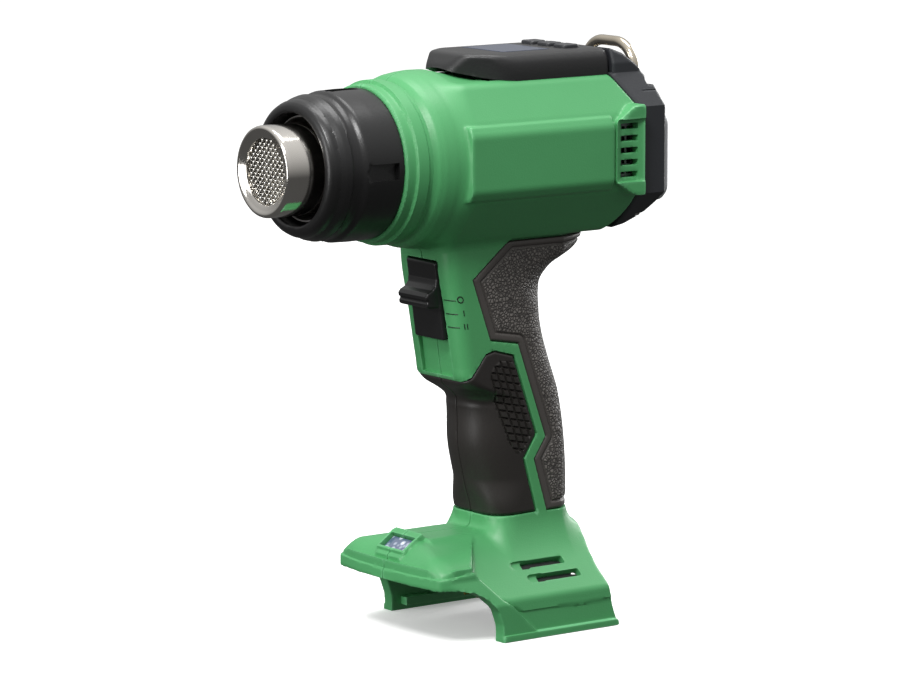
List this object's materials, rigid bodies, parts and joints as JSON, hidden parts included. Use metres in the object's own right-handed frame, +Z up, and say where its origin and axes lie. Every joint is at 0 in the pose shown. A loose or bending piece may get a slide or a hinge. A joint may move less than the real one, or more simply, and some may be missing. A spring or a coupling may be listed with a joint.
{
  "type": "heat gun",
  "caption": "Cordless hot air gun with a steel outlet, black guard, pistol grip, thumb slide switch, top display, hanging hook and a slide-on battery foot.",
  "frame": {"origin": "under the middle of the tool, level with the bottom of the battery skirts", "axes": "+Z up; the nozzle blows along -X; +Y is the tool's right-hand side seen from the rear"},
  "size_m": [0.167, 0.078, 0.2202],
  "materials": {
    "green_nylon": "glass-filled nylon, spark-eroded texture",
    "black_nylon": "black glass-filled nylon, fine texture",
    "guard_black": "heat-resistant black nylon",
    "cover_grey": "charcoal nylon, fine texture",
    "soft_rubber": "smooth moulded elastomer",
    "grained_rubber": "grained moulded elastomer",
    "pad_rubber": "moulded elastomer, light wear",
    "polished_steel": "polished stainless steel",
    "nickel_wire": "nickel-plated steel wire",
    "plain_steel": "plain steel",
    "zinc_screw": "black-oxide steel",
    "ceramic": "steatite ceramic",
    "mica": "mica laminate",
    "heater_wire": "oxidised resistance wire",
    "motor_can": "zinc-plated steel can",
    "magnet": "ferrite",
    "laminations": "electrical steel stack",
    "copper": "copper",
    "bronze": "sintered bronze",
    "display_glass": "tinted acrylic window",
    "display_cell": "display cell",
    "circuit_board": "glass-epoxy board",
    "switch_black": "moulded switch body",
    "filter_mesh": "woven wire",
    "aluminium_sink": "extruded aluminium",
    "contact_brass": "plated contact blades",
    "led_window": "clear lamp window",
    "wire_sleeve": "silicone-sleeved wire",
    "wire_white": "glass-braid sleeved wire"
  },
  "bodies": {
    "root": {"housing_left": "green_nylon", "housing_right": "green_nylon", "housing_screws": "zinc_screw", "front_guard": "guard_black", "nozzle_tube": "polished_steel", "nozzle_screen": "plain_steel", "heater_core": "ceramic", "heating_coil": "heater_wire", "mica_sleeve": "mica", "heat_shield": "plain_steel", "heater_flange": "ceramic", "thermal_fuse": "plain_steel", "temperature_sensor": "plain_steel", "fan_shroud": "black_nylon", "motor_mount": "black_nylon", "motor_screws": "plain_steel", "motor_can": "motor_can", "motor_end_cap": "black_nylon", "motor_magnets": "magnet", "motor_bush_front": "bronze", "motor_bush_rear": "bronze", "top_panel": "black_nylon", "display_lens": "display_glass", "display_module": "display_cell", "display_board": "circuit_board", "button_switches": "plain_steel", "rear_cover": "cover_grey", "rear_cover_screws": "plain_steel", "rear_pad": "pad_rubber", "inlet_filters": "filter_mesh", "switch_body": "switch_black", "control_board": "circuit_board", "heat_sink": "aluminium_sink", "capacitor": "display_cell", "grip_front_left": "soft_rubber", "grip_front_right": "soft_rubber", "grip_rear_left": "grained_rubber", "grip_rear_right": "grained_rubber", "terminal_block": "switch_black", "terminal_blades": "contact_brass", "led_lens": "led_window", "led_board": "circuit_board", "heater_leads": "wire_white", "motor_leads": "wire_sleeve", "battery_leads": "wire_sleeve"},
    "fan": {"fan_impeller": "black_nylon", "motor_armature": "laminations", "motor_commutator": "copper", "motor_shaft": "plain_steel"},
    "slider": {"switch_slider": "switch_black"},
    "up_key": {"button_up": "cover_grey"},
    "down_key": {"button_down": "cover_grey"},
    "mode_key": {"button_mode": "cover_grey"},
    "hook": {"hanging_hook": "nickel_wire"}
  },
  "joints": [
    {"name": "fan_spin", "type": "hinge", "parent": "root", "child": "fan", "pos_m": [0.0005, 0, 0.1789], "axis": [1, 0, 0], "continuous": true},
    {"name": "switch_slide", "type": "slide", "parent": "root", "child": "slider", "axis": [0.1392, 0, -0.9903], "range_m": [0, 0.0103]},
    {"name": "up_press", "type": "slide", "parent": "root", "child": "up_key", "axis": [0, 0, -1], "range_m": [0, 0.0008], "stiffness_N_per_m": 400},
    {"name": "down_press", "type": "slide", "parent": "root", "child": "down_key", "axis": [0, 0, -1], "range_m": [0, 0.0008], "stiffness_N_per_m": 400},
    {"name": "mode_press", "type": "slide", "parent": "root", "child": "mode_key", "axis": [0, 0, -1], "range_m": [0, 0.0008], "stiffness_N_per_m": 400},
    {"name": "hook_swing", "type": "hinge", "parent": "root", "child": "hook", "pos_m": [0.0775, 0, 0.2049], "axis": [0, 1, 0], "range_deg": [0, 95]}
  ]
}
